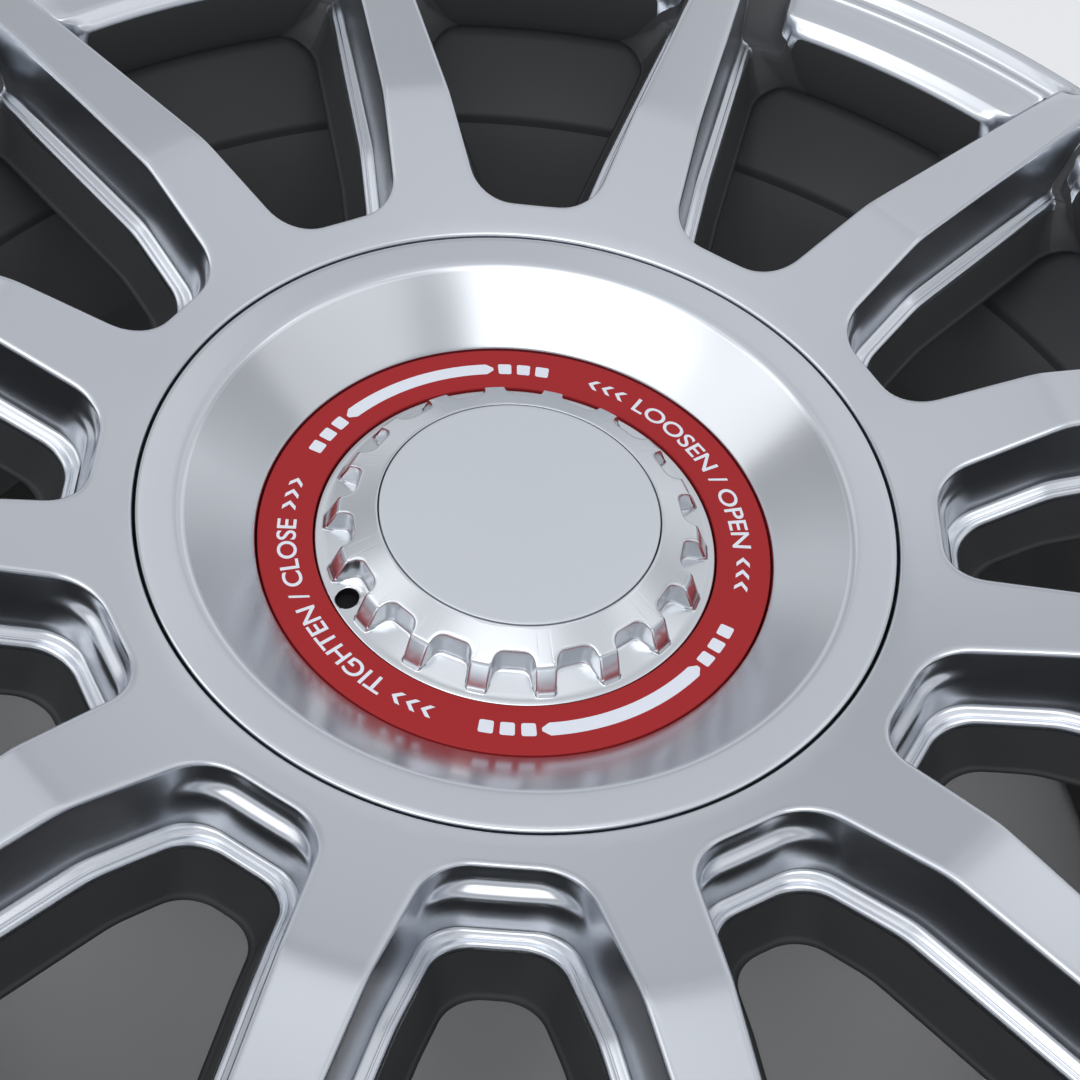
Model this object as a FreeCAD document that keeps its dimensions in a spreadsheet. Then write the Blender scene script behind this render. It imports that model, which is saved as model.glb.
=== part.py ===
import FreeCAD, Part
import Sketcher
import math
import os

# Alloy wheel, 19 inch, twelve spokes, lying face up.
# Frame: the axis is Z, the origin is the centre of the hub's mounting pad, +Z is the street side.

doc = FreeCAD.newDocument("alloy_wheel")
sheet = doc.addObject("Spreadsheet::Sheet", "Sizes")

SIZES = (
    # rim
    ("bead_seat_radius", 241.3),
    ("rim_width", 215.9),
    ("wheel_offset", 42.0),
    ("flange_height", 17.3),
    ("flange_thickness", 12.0),
    ("flange_round", 3.0),
    ("lip_band", 10.6),
    ("rear_rest_band", 8.0),
    ("seat_width", 24.0),
    ("seat_drop", 2.1),
    ("well_depth", 21.0),
    ("well_slope", 24.0),
    ("well_width", 60.0),
    ("barrel_wall", 5.5),
    ("rim_ledge_depth", 8.6),
    ("rim_ledge_width", 4.6),
    ("rim_ledge_inset", 11.0),
    ("rim_wall_sweep", 26.0),
    ("rim_ring_height", 14.0),
    # spokes
    ("spoke_count", 12),
    ("face_rise", 17.0),
    ("crease_radius", 155.4),
    ("crease_round", 26.0),
    ("crease_drop", 0.5),
    ("spoke_depth", 39.3),
    ("spoke_width_hub", 23.4),
    ("spoke_width_rim", 14.6),
    ("wall_draft", 6.2),
    ("window_root", 119.2),
    ("root_round", 14.4),
    ("rim_corner_round", 9.0),
    ("ledge_depth", 23.6),
    ("shelf_depth", 9.4),
    ("shelf_reach", 4.0),
    ("rear_width_hub", 34.6),
    ("rear_width_rim", 29.6),
    ("rear_draft", 19.0),
    ("rear_root", 123.6),
    ("rear_round", 7.0),
    # hub
    ("bore_radius", 33.3),
    ("pad_radius", 76.0),
    ("pad_thickness", 15.0),
    ("bore_length", 11.0),
    ("bore_relief_radius", 35.0),
    ("bore_depth", 18.0),
    ("drum_radius", 107.0),
    ("floor_radius", 79.0),
    ("recess_radius", 93.0),
    ("recess_slope_top", 30.0),
    ("boss_radius", 40.0),
    ("boss_bore", 30.0),
    ("boss_height", 31.0),
    ("lug_count", 5),
    ("lug_circle_radius", 56.0),
    ("lug_hole_radius", 7.5),
    ("lug_pocket_radius", 14.5),
    ("lug_seat_height", 12.0),
    ("valve_hole_radius", 5.65),
    # centre cover
    ("gap_radius", 105.0),
    ("cover_gap", 1.0),
    ("cover_wall", 3.0),
    ("cover_skirt", 8.0),
    ("cover_skirt_wall", 5.0),
    ("dish_edge_radius", 94.0),
    ("dish_edge_drop", 0.45),
    ("dish_shoulder_run", 1.9),
    ("dish_shoulder_fall", 0.8),
    ("dish_shoulder_round", 3.0),
    ("cover_hole_radius", 25.0),
    ("shelf_seat_width", 8.0),
    ("seal_thickness", 1.5),
    ("seal_width", 5.0),
    # lock ring and nut
    ("ring_outer_radius", 72.5),
    ("ring_inner_radius", 57.1),
    ("ring_sink", 17.0),
    ("ring_thickness", 3.0),
    ("fit_gap", 0.3),
    ("tooth_count", 18),
    ("nut_phase", 10.3),
    ("disc_radius", 39.3),
    ("disc_thickness", 2.5),
    ("disc_sink", 5.2),
    ("tooth_top_radius", 49.8),
    ("tooth_top_sink", 9.1),
    ("tooth_chamfer", 0.9),
    ("tooth_foot_radius", 52.5),
    ("tooth_foot_sink", 16.4),
    ("flange_top_radius", 54.6),
    ("flange_top_sink", 17.6),
    ("notch_back_radius", 46.2),
    ("notch_floor_sink", 15.7),
    ("notch_floor_drop", 1.9),
    ("notch_back_width", 9.6),
    ("notch_mouth_width", 13.4),
    ("notch_round", 3.2),
    ("pin_hole_radius", 3.3),
    ("pin_hole_circle", 52.6),
    ("pin_hole_notch", 10),
    ("shank_radius", 24.0),
    ("shank_wall", 6.0),
    ("shank_length", 21.0),
    ("nut_web", 6.0),
    # threaded carrier and its snap ring
    ("carrier_flange_radius", 36.0),
    ("carrier_flange_thickness", 3.5),
    ("thread_gap", 0.3),
    ("snap_groove_depth", 1.2),
    ("snap_ring_width", 2.0),
    ("snap_ring_reach", 1.6),
    ("snap_ring_slot", 10.0),
)


class Size:
    """A cell of the sheet, or a formula of cells: its number, and its text for an expression."""

    def __init__(self, value, text):
        self.value = float(value)
        self.text = text

    def _join(self, other, sign, value):
        text = other.text if isinstance(other, Size) else repr(float(other))
        return Size(value, "(%s %s %s)" % (self.text, sign, text))

    def __add__(self, other):
        return self._join(other, "+", self.value + number(other))

    def __sub__(self, other):
        return self._join(other, "-", self.value - number(other))

    def __mul__(self, other):
        return self._join(other, "*", self.value * number(other))

    def __truediv__(self, other):
        return self._join(other, "/", self.value / number(other))

    def __neg__(self):
        return Size(-self.value, "(0 - %s)" % self.text)


def number(item):
    return item.value if isinstance(item, Size) else float(item)


def fixed(value):
    return Size(value, repr(float(value)))


def root(item):
    return Size(math.sqrt(item.value), "sqrt(%s)" % item.text)


def tangent(angle):
    return Size(math.tan(math.radians(angle.value)), "tan(%s)" % angle.text)


def sine(angle):
    return Size(math.sin(math.radians(angle.value)), "sin(%s)" % angle.text)


def cosine(angle):
    return Size(math.cos(math.radians(angle.value)), "cos(%s)" % angle.text)


def arc_tangent(ratio):
    return Size(math.degrees(math.atan(ratio.value)), "atan(%s)" % ratio.text)


def fill_sheet():
    cells = {}
    for row, (alias, value) in enumerate(SIZES, start=1):
        sheet.set("A%d" % row, alias)
        sheet.set("B%d" % row, repr(value))
        sheet.setAlias("B%d" % row, alias)
        cells[alias] = Size(value, "Sizes.%s" % alias)
    doc.recompute()
    return cells


def bind(item, prop, size):
    item.setExpression(prop, size.text)


def arc_between(start, end, radius):
    """The lesser arc from start to end, bulging to the right of the chord."""
    chord = end - start
    side = FreeCAD.Vector(chord.y, -chord.x, 0).normalize()
    half = chord.Length / 2
    rise = radius - math.sqrt(radius * radius - half * half)
    return Part.Arc(start, (start + end) * 0.5 + side * rise, end)


def outline(body, name, plane, corners):
    """A closed sketch: each corner is (x, y), or (x, y, radius, side) where an arc leads to it.

    Side is 1 for an arc that bulges to the right of its path and -1 for one that bulges to the left.
    """
    sketch = body.newObject("Sketcher::SketchObject", name)
    planes = [item for item in body.Origin.OriginFeatures if item.Role == plane]
    sketch.AttachmentSupport = [(planes[0], "")]
    sketch.MapMode = "FlatFace"
    points = [FreeCAD.Vector(corner[0].value, corner[1].value, 0) for corner in corners]
    count = len(corners)
    starts = []
    for index in range(count):
        after = (index + 1) % count
        target = corners[after]
        if len(target) == 2:
            sketch.addGeometry(Part.LineSegment(points[index], points[after]))
            starts.append(1)
        elif target[3] > 0:
            sketch.addGeometry(arc_between(points[index], points[after], target[2].value))
            starts.append(1)
        else:
            sketch.addGeometry(arc_between(points[after], points[index], target[2].value))
            starts.append(2)
    for index in range(count):
        after = (index + 1) % count
        link = Sketcher.Constraint("Coincident", index, 3 - starts[index], after, starts[after])
        sketch.addConstraint(link)
    for index, corner in enumerate(corners):
        for axis, size in (("DistanceX", corner[0]), ("DistanceY", corner[1])):
            hold = Sketcher.Constraint(axis, index, starts[index], size.value)
            bind(sketch, "Constraints[%d]" % sketch.addConstraint(hold), size)
        if len(corner) > 2:
            before = (index - 1) % count
            hold = Sketcher.Constraint("Radius", before, corner[2].value)
            bind(sketch, "Constraints[%d]" % sketch.addConstraint(hold), corner[2])
    doc.recompute()
    return sketch


def new_body(name):
    body = doc.addObject("PartDesign::Body", name)
    body.Label = name
    return body


def revolve(body, name, corners):
    """A full turn about Z of a profile of (radius, height) corners."""
    sketch = outline(body, name + "_profile", "XZ_Plane", corners)
    turn = body.newObject("PartDesign::Revolution", name)
    turn.Profile = sketch
    turn.ReferenceAxis = (sketch, ["V_Axis"])
    turn.Angle = 360
    doc.recompute()
    return turn


def upright_edges(shape):
    names = []
    for index, edge in enumerate(shape.Edges, start=1):
        if abs(edge.tangentAt(edge.FirstParameter).z) > 0.5:
            names.append("Edge%d" % index)
    return names


def round_edges(body, base, name, edges, radius):
    blend = body.newObject("PartDesign::Fillet", name)
    blend.Base = (base, edges)
    bind(blend, "Radius", radius)
    doc.recompute()
    return blend


def ring_edges(shape, places):
    """The names of full circles about the axis at the given (radius, height) places."""
    names = []
    for index, edge in enumerate(shape.Edges, start=1):
        if edge.Curve.TypeId != "Part::GeomCircle":
            continue
        for radius, height in places:
            near = abs(edge.Curve.Radius - radius.value) < 1e-4
            if near and abs(edge.Curve.Center.z - height.value) < 1e-4:
                names.append("Edge%d" % index)
    return names


def copies_round(name, source, count, phase):
    """Copies of a tool turned about Z, evenly spaced from a starting angle."""
    turned = []
    for index in range(int(count.value)):
        copy = doc.addObject("App::Link", "%s_%d" % (name, index))
        copy.LinkedObject = source
        copy.LinkTransform = True
        copy.Placement = FreeCAD.Placement(FreeCAD.Vector(), FreeCAD.Rotation(FreeCAD.Vector(0, 0, 1), 1))
        bind(copy, "Placement.Rotation.Angle", phase + fixed(360.0 * index) / count)
        turned.append(copy)
    group = doc.addObject("Part::Compound", name)
    group.Links = turned
    doc.recompute()
    return group


def boolean(kind, name, base, tool):
    item = doc.addObject(kind, name)
    item.Base = base
    item.Tool = tool
    item.Refine = True
    doc.recompute()
    return item


size = fill_sheet()

# Levels and radii that several pieces share
lip_radius = size["bead_seat_radius"] + size["flange_height"]
lip_inner = lip_radius - size["lip_band"]
lip_level = size["rim_width"] / 2 + size["flange_thickness"] - size["wheel_offset"]
rear_level = -(size["rim_width"] / 2 + size["flange_thickness"] + size["wheel_offset"])
crease_level = lip_level - size["crease_drop"]
gap_level = crease_level - size["face_rise"]
recess_edge = size["gap_radius"] + size["cover_gap"] / 2
cover_radius = size["gap_radius"] - size["cover_gap"] / 2
face_slope = size["face_rise"] / (size["crease_radius"] - size["gap_radius"])
ring_top = gap_level - size["ring_sink"]
cover_floor = ring_top - size["ring_thickness"]
cover_seat = gap_level - size["cover_skirt"] - size["seal_thickness"]


def face_level(radius):
    """Height of the sloping inner face, also where a window has cut it away."""
    return crease_level + (radius - size["crease_radius"]) * face_slope


def rim_profile():
    front_wall = lip_level - size["flange_thickness"]
    rear_wall = rear_level + size["flange_thickness"]
    seat = size["bead_seat_radius"]
    seat_end = seat - size["seat_drop"]
    well = seat - size["well_depth"]
    front_seat_end = front_wall - size["seat_width"]
    rear_seat_end = rear_wall + size["seat_width"]
    well_front = front_seat_end - size["well_slope"]
    well_rear = well_front - size["well_width"]
    wall = size["barrel_wall"]
    ledge_outer = lip_inner - size["rim_ledge_inset"]
    ledge_inner = ledge_outer - size["rim_ledge_width"]
    ledge_level = lip_level - size["rim_ledge_depth"]
    return [
        (lip_radius, lip_level),
        (lip_radius, front_wall),
        (seat, front_wall),
        (seat_end, front_seat_end),
        (well, well_front),
        (well, well_rear),
        (seat_end, rear_seat_end),
        (seat, rear_wall),
        (lip_radius, rear_wall),
        (lip_radius, rear_level),
        (lip_radius - size["rear_rest_band"], rear_level),
        (seat - wall, rear_wall),
        (seat_end - wall, rear_seat_end),
        (well - wall, well_rear),
        (well - wall, well_front),
        (seat_end - wall, front_seat_end),
        (ledge_inner, ledge_level - size["rim_ring_height"]),
        (ledge_inner, ledge_level),
        (ledge_outer, ledge_level),
        (lip_inner, lip_level, size["rim_wall_sweep"], 1),
    ]


def build_rim():
    body = new_body("rim_ring")
    turn = revolve(body, "rim_turn", rim_profile())
    corners = [(lip_radius, lip_level), (lip_radius, lip_level - size["flange_thickness"])]
    corners.append((lip_radius, rear_level))
    corners.append((lip_radius, rear_level + size["flange_thickness"]))
    edges = ring_edges(turn.Shape, corners)
    body.Tip = round_edges(body, turn, "flange_rounds", edges, size["flange_round"])
    doc.recompute()
    return body


def centre_profile():
    """Hub and spoke disc in one section, before the windows are cut."""
    join = lip_inner - size["rim_ledge_inset"]
    back_crease = crease_level - size["spoke_depth"]
    back_drum = face_level(size["drum_radius"]) - size["spoke_depth"]
    lip_join = lip_inner + size["lip_band"] / 4
    return [
        (size["bore_radius"], fixed(0)),
        (size["pad_radius"], fixed(0)),
        (size["drum_radius"], back_drum),
        (size["crease_radius"], back_crease),
        (join, lip_level - size["spoke_depth"]),
        (join, lip_level - size["flange_thickness"]),
        (lip_join, lip_level - size["rim_ledge_depth"]),
        (lip_join, lip_level),
        (size["crease_radius"], crease_level),
        (recess_edge, face_level(recess_edge)),
        (recess_edge, cover_seat),
        (recess_edge - size["shelf_seat_width"], cover_seat),
        (size["recess_radius"], size["recess_slope_top"]),
        (size["floor_radius"], size["pad_thickness"]),
        (size["boss_radius"], size["pad_thickness"]),
        (size["boss_radius"], size["boss_height"]),
        (size["boss_bore"], size["boss_height"]),
        (size["boss_bore"], size["bore_depth"]),
        (size["bore_relief_radius"], size["bore_depth"]),
        (size["bore_relief_radius"], size["bore_length"]),
        (size["bore_radius"], size["bore_length"]),
    ]


def build_centre():
    body = new_body("spoke_disc")
    turn = revolve(body, "disc_turn", centre_profile())
    edges = ring_edges(turn.Shape, [(size["crease_radius"], crease_level)])
    body.Tip = round_edges(body, turn, "crease_blend", edges, size["crease_round"])
    doc.recompute()
    return body


def window_corners(root_place, width_hub, width_rim, rim_place):
    """Plan of one window about the X axis: straight sides along two spokes, an arc at the rim."""
    half_pitch = fixed(180) / size["spoke_count"]
    along = cosine(half_pitch)
    across = sine(half_pitch)
    hub_reach = size["gap_radius"]
    hub_x = hub_reach * along + width_hub / 2 * across
    hub_y = hub_reach * across - width_hub / 2 * along
    rim_reach = root(rim_place * rim_place - width_rim * width_rim / 4)
    rim_x = rim_reach * along + width_rim / 2 * across
    rim_y = rim_reach * across - width_rim / 2 * along
    root_y = hub_y + (root_place - hub_x) * (rim_y - hub_y) / (rim_x - hub_x)
    return [
        (root_place, -root_y),
        (rim_x, -rim_y),
        (rim_x, rim_y, rim_place, 1),
        (root_place, root_y),
    ]


def drafted_window(name, corners, level, depth, draft, hub_round, rim_round):
    """A window tool that starts at a level and narrows as it goes down."""
    body = new_body(name)
    sketch = outline(body, name + "_plan", "XY_Plane", corners)
    pad = body.newObject("PartDesign::Pad", name + "_pad")
    pad.Profile = sketch
    pad.Reversed = True
    bind(pad, "Length", depth)
    doc.recompute()
    sides = []
    for index, face in enumerate(pad.Shape.Faces, start=1):
        low, high = face.BoundBox.ZMin, face.BoundBox.ZMax
        if high - low > depth.value / 2:
            sides.append("Face%d" % index)
    lean = body.newObject("PartDesign::Draft", name + "_draft")
    lean.Base = (pad, sides)
    lean.NeutralPlane = (sketch.AttachmentSupport[0][0], [""])
    lean.Reversed = True
    bind(lean, "Angle", draft)
    doc.recompute()
    if lean.Shape.Volume >= pad.Shape.Volume:
        raise RuntimeError("%s widens as it goes down" % name)
    middle = (corners[0][0].value + corners[1][0].value) / 2
    hub_edges = [item for item in upright_edges(lean.Shape)
                 if lean.Shape.getElement(item).CenterOfMass.x < middle]
    blend = round_edges(body, lean, name + "_root", hub_edges, hub_round)
    rim_edges = [item for item in upright_edges(blend.Shape)
                 if blend.Shape.getElement(item).CenterOfMass.x > middle]
    body.Tip = round_edges(body, blend, name + "_rim", rim_edges, rim_round)
    bind(body, "Placement.Base.z", level)
    doc.recompute()
    return body


def room_above(name, depth):
    """Everything above a surface that runs parallel to the spokes' face at a depth."""
    body = new_body(name)
    far = lip_radius + size["flange_height"]
    near = size["bore_radius"]
    top = lip_level + size["flange_height"]
    corners = [
        (near, face_level(near) - depth),
        (size["crease_radius"], crease_level - depth),
        (far, lip_level - depth),
        (far, top),
        (near, top),
    ]
    sketch = outline(body, name + "_profile", "XZ_Plane", corners)
    pad = body.newObject("PartDesign::Pad", name + "_pad")
    pad.Profile = sketch
    pad.SideType = "Symmetric"
    bind(pad, "Length", far)
    body.Tip = pad
    doc.recompute()
    return body


def build_window():
    """One window: a drafted front pocket down to the ledge, its root shelf and a flared rear opening."""
    over = size["flange_height"]
    front_level = lip_level + over
    grow = over * tangent(size["wall_draft"])
    width_hub = size["spoke_width_hub"] - grow * 2
    width_rim = size["spoke_width_rim"] - grow * 2
    front_plan = window_corners(size["window_root"] - grow, width_hub, width_rim, lip_inner + grow)
    shelf_plan = window_corners(
        size["window_root"] - size["shelf_reach"] - grow, width_hub, width_rim, lip_inner + grow)
    front = drafted_window("front_window", front_plan, front_level, size["spoke_depth"] + over,
                           size["wall_draft"], size["root_round"], size["rim_corner_round"])
    shelf = drafted_window("shelf_window", shelf_plan, front_level, size["spoke_depth"] + over,
                           size["wall_draft"], size["root_round"], size["rim_corner_round"])
    above_ledge = room_above("room_above_ledge", size["ledge_depth"])
    above_shelf = room_above("room_above_shelf", size["shelf_depth"])
    front_tool = boolean("Part::Common", "front_tool", front, above_ledge)
    shelf_tool = boolean("Part::Common", "shelf_tool", shelf, above_shelf)
    rear_top = lip_level - size["ledge_depth"] + size["fit_gap"]
    rear_plan = window_corners(size["rear_root"], size["rear_width_hub"], size["rear_width_rim"],
                               lip_inner - size["rim_ledge_inset"] + size["barrel_wall"])
    rear_depth = rear_top - face_level(size["rear_root"]) + size["spoke_depth"] + size["flange_round"]
    rear = drafted_window("rear_window", rear_plan, rear_top, rear_depth,
                          size["rear_draft"], size["rear_round"], size["rim_corner_round"])
    tool = doc.addObject("Part::MultiFuse", "window_tool")
    tool.Shapes = [front_tool, shelf_tool, rear]
    doc.recompute()
    return tool


def build_lug_tool():
    """One bolt hole with its conical seat and socket pocket, on the lug circle."""
    body = new_body("lug_tool")
    top = size["boss_height"] + size["pad_thickness"]
    cone_run = size["lug_pocket_radius"] - size["lug_hole_radius"]
    revolve(body, "lug_turn", [
        (fixed(0), -size["pad_thickness"]),
        (size["lug_hole_radius"], -size["pad_thickness"]),
        (size["lug_hole_radius"], size["lug_seat_height"] - cone_run),
        (size["lug_pocket_radius"], size["lug_seat_height"]),
        (size["lug_pocket_radius"], top),
        (fixed(0), top),
    ])
    bind(body, "Placement.Base.x", size["lug_circle_radius"])
    doc.recompute()
    return body


def build_valve_tool():
    """The valve hole, square through the front slope of the well, in the window at -Y."""
    tool = doc.addObject("Part::Cylinder", "valve_tool")
    fall = size["well_depth"] - size["seat_drop"]
    lean = arc_tangent(size["well_slope"] / fall)
    reach = size["bead_seat_radius"] - size["seat_drop"] - fall / 2
    height = lip_level - size["flange_thickness"] - size["seat_width"] - size["well_slope"] / 2
    half = size["well_slope"]
    bind(tool, "Radius", size["valve_hole_radius"])
    bind(tool, "Height", half * 2)
    tool.Placement = FreeCAD.Placement(
        FreeCAD.Vector(), FreeCAD.Rotation(FreeCAD.Vector(-1, 0, 0), lean.value))
    bind(tool, "Placement.Rotation.Angle", lean)
    bind(tool, "Placement.Base.y", -reach - half * sine(lean))
    bind(tool, "Placement.Base.z", height - half * cosine(lean))
    doc.recompute()
    return tool


def build_wheel():
    """The one-piece casting: hub, disc and rim, with its windows and holes cut in one go."""
    rim = build_rim()
    blank = boolean("Part::Fuse", "blank", build_centre(), rim)
    window = boolean("Part::Cut", "window_opening", build_window(), rim)
    cuts = doc.addObject("Part::Compound", "wheel_cuts")
    cuts.Links = [
        copies_round("windows", window, size["spoke_count"], fixed(0)),
        copies_round("lugs", build_lug_tool(), size["lug_count"], fixed(90)),
        build_valve_tool(),
    ]
    wheel = boolean("Part::Cut", "wheel", blank, cuts)
    wheel.Label = "wheel"
    return wheel


def build_cover():
    """The dished cover: a flat band, a bowl down to the ring seat, and a skirt in the recess."""
    body = new_body("centre_cover")
    wall = size["cover_wall"]
    ring_edge = size["ring_outer_radius"] + size["fit_gap"]
    dish_level = gap_level - size["dish_edge_drop"]
    bowl_radius = size["dish_edge_radius"] - size["dish_shoulder_run"]
    bowl_level = dish_level - size["dish_shoulder_fall"]
    skirt = gap_level - size["cover_skirt"]
    skirt_inner = cover_radius - size["cover_skirt_wall"]
    body.Tip = revolve(body, "cover_turn", [
        (cover_radius, gap_level),
        (size["dish_edge_radius"], dish_level),
        (bowl_radius, bowl_level, size["dish_shoulder_round"], 1),
        (ring_edge, ring_top),
        (ring_edge, cover_floor),
        (size["cover_hole_radius"], cover_floor),
        (size["cover_hole_radius"], cover_floor - wall),
        (ring_edge + wall / 2, cover_floor - wall),
        (bowl_radius + wall, bowl_level - wall),
        (skirt_inner, dish_level - wall),
        (skirt_inner, skirt),
        (cover_radius, skirt),
    ])
    doc.recompute()
    return body


def build_seal():
    """The flat rubber ring between the cover's skirt and its seat in the wheel."""
    body = new_body("cover_seal")
    outer = cover_radius
    inner = cover_radius - size["seal_width"]
    top = cover_seat + size["seal_thickness"]
    body.Tip = revolve(body, "seal_turn", [
        (outer, cover_seat),
        (outer, top),
        (inner, top),
        (inner, cover_seat),
    ])
    doc.recompute()
    return body


def build_ring():
    body = new_body("lock_ring")
    body.Tip = revolve(body, "ring_turn", [
        (size["ring_outer_radius"], cover_floor),
        (size["ring_outer_radius"], ring_top),
        (size["ring_inner_radius"], ring_top),
        (size["ring_inner_radius"], cover_floor),
    ])
    doc.recompute()
    return body


def notch_corners():
    """Section of one notch in the plane through the axis: its back, its sloping floor and the open side."""
    out = size["ring_outer_radius"]
    back = size["notch_back_radius"]
    floor = gap_level - size["notch_floor_sink"]
    run = size["flange_top_radius"] - back
    return [
        (back, floor),
        (out, floor - size["notch_floor_drop"] * (out - back) / run),
        (out, gap_level),
        (back, gap_level),
    ]


def build_notch():
    """The tool of one notch: a rounded plan that opens outwards, cut off by the sloping floor."""
    plan = new_body("notch_plan")
    back = size["notch_back_radius"]
    mouth = size["tooth_foot_radius"]
    out = size["ring_outer_radius"]
    grow = (size["notch_mouth_width"] - size["notch_back_width"]) / (mouth - back)
    wide = size["notch_back_width"] + grow * (out - back)
    sketch = outline(plan, "notch_outline", "XY_Plane", [
        (back, -size["notch_back_width"] / 2),
        (out, -wide / 2),
        (out, wide / 2),
        (back, size["notch_back_width"] / 2),
    ])
    pad = plan.newObject("PartDesign::Pad", "notch_pad")
    pad.Profile = sketch
    bind(pad, "Length", gap_level)
    doc.recompute()
    edges = []
    for edge_name in upright_edges(pad.Shape):
        if pad.Shape.getElement(edge_name).CenterOfMass.x < mouth.value:
            edges.append(edge_name)
    plan.Tip = round_edges(plan, pad, "notch_rounds", edges, size["notch_round"])
    floor = new_body("notch_floor")
    side = outline(floor, "notch_side", "XZ_Plane", notch_corners())
    slab = floor.newObject("PartDesign::Pad", "notch_slab")
    slab.Profile = side
    slab.SideType = "Symmetric"
    bind(slab, "Length", out)
    floor.Tip = slab
    doc.recompute()
    return boolean("Part::Common", "notch_tool", plan, floor)


def build_nut():
    """The scalloped nut: a flanged head with notches for its wrench, on a hollow threaded shank."""
    body = new_body("nut_blank")
    seat = cover_floor
    shank_end = seat - size["shank_length"]
    hollow = size["shank_radius"] - size["shank_wall"]
    pocket = gap_level - size["disc_sink"] - size["disc_thickness"]
    rim = size["ring_inner_radius"] - size["fit_gap"]
    disc_edge = size["disc_radius"] + size["fit_gap"]
    tooth_level = gap_level - size["tooth_top_sink"]
    revolve(body, "nut_turn", [
        (fixed(0), pocket),
        (fixed(0), pocket - size["nut_web"]),
        (hollow, pocket - size["nut_web"]),
        (hollow, shank_end),
        (size["shank_radius"], shank_end),
        (size["shank_radius"], seat),
        (rim, seat),
        (rim, gap_level - size["flange_top_sink"]),
        (size["flange_top_radius"], gap_level - size["flange_top_sink"]),
        (size["tooth_foot_radius"], gap_level - size["tooth_foot_sink"]),
        (size["tooth_top_radius"] + size["tooth_chamfer"], tooth_level - size["tooth_chamfer"]),
        (size["tooth_top_radius"], tooth_level),
        (disc_edge, gap_level - size["disc_sink"]),
        (disc_edge, pocket),
    ])
    notches = copies_round("notches", build_notch(), size["tooth_count"], size["nut_phase"])
    head = boolean("Part::Cut", "nut_head", body, notches)
    hole = doc.addObject("Part::Cylinder", "pin_hole")
    bind(hole, "Radius", size["pin_hole_radius"])
    bind(hole, "Height", gap_level)
    turn = size["nut_phase"] + fixed(360) * size["pin_hole_notch"] / size["tooth_count"]
    bind(hole, "Placement.Base.x", size["pin_hole_circle"] * cosine(turn))
    bind(hole, "Placement.Base.y", size["pin_hole_circle"] * sine(turn))
    nut = boolean("Part::Cut", "lock_nut", head, hole)
    nut.Label = "lock_nut"
    return nut


def build_disc():
    """The plain inlaid disc in the nut's face."""
    body = new_body("centre_disc")
    top = gap_level - size["disc_sink"]
    body.Tip = revolve(body, "disc_face_turn", [
        (fixed(0), top - size["disc_thickness"]),
        (size["disc_radius"], top - size["disc_thickness"]),
        (size["disc_radius"], top),
        (fixed(0), top),
    ])
    doc.recompute()
    return body


def build_carrier():
    """The threaded sleeve that the nut turns into, flanged on top of the hub's boss."""
    body = new_body("thread_carrier")
    outer = size["boss_bore"] - size["fit_gap"]
    thread = size["shank_radius"] + size["thread_gap"]
    groove_top = size["bore_depth"]
    groove_low = groove_top - size["snap_ring_width"] - size["fit_gap"]
    foot = groove_low - size["snap_ring_width"]
    groove = outer - size["snap_groove_depth"]
    body.Tip = revolve(body, "carrier_turn", [
        (thread, foot),
        (outer, foot),
        (outer, groove_low),
        (groove, groove_low),
        (groove, groove_top),
        (outer, groove_top),
        (outer, size["boss_height"]),
        (size["carrier_flange_radius"], size["boss_height"]),
        (size["carrier_flange_radius"], size["boss_height"] + size["carrier_flange_thickness"]),
        (thread, size["boss_height"] + size["carrier_flange_thickness"]),
    ])
    doc.recompute()
    return body


def build_snap_ring():
    """The open spring ring in the carrier's groove, behind the boss."""
    body = new_body("carrier_snap_ring")
    inner = size["boss_bore"] - size["fit_gap"] - size["snap_groove_depth"] + size["thread_gap"]
    outer = size["boss_bore"] + size["snap_ring_reach"]
    top = size["bore_depth"]
    turn = revolve(body, "snap_turn", [
        (inner, top - size["snap_ring_width"]),
        (outer, top - size["snap_ring_width"]),
        (outer, top),
        (inner, top),
    ])
    slot = outline(body, "snap_slot", "XY_Plane", [
        (fixed(0), -size["snap_ring_slot"] / 2),
        (outer * 2, -size["snap_ring_slot"] / 2),
        (outer * 2, size["snap_ring_slot"] / 2),
        (fixed(0), size["snap_ring_slot"] / 2),
    ])
    cut = body.newObject("PartDesign::Pocket", "snap_gap")
    cut.Profile = slot
    cut.Reversed = True
    cut.Type = "ThroughAll"
    body.Tip = cut
    doc.recompute()
    if cut.Shape.Volume >= turn.Shape.Volume:
        raise RuntimeError("the snap ring's gap cuts nothing")
    return body


def write_parts(pieces):
    doc.recompute()
    for item in doc.Objects:
        if "Invalid" in item.State or "Error" in item.State:
            raise RuntimeError("%s failed" % item.Label)
    os.makedirs("parts", exist_ok=True)
    for piece in pieces:
        shape = piece.Shape
        if shape.isNull() or not shape.isValid() or len(shape.Solids) != 1:
            raise RuntimeError("%s is not one valid solid" % piece.Label)
        shape.exportStep("parts/%s.step" % piece.Label)
        print("%s: %.1f cm3" % (piece.Label, shape.Volume / 1000))


write_parts([
    build_wheel(),
    build_cover(),
    build_seal(),
    build_ring(),
    build_nut(),
    build_disc(),
    build_carrier(),
    build_snap_ring(),
])
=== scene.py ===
import math
from collections import namedtuple

import bmesh
import bpy
from mathutils import Matrix, Vector


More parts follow.
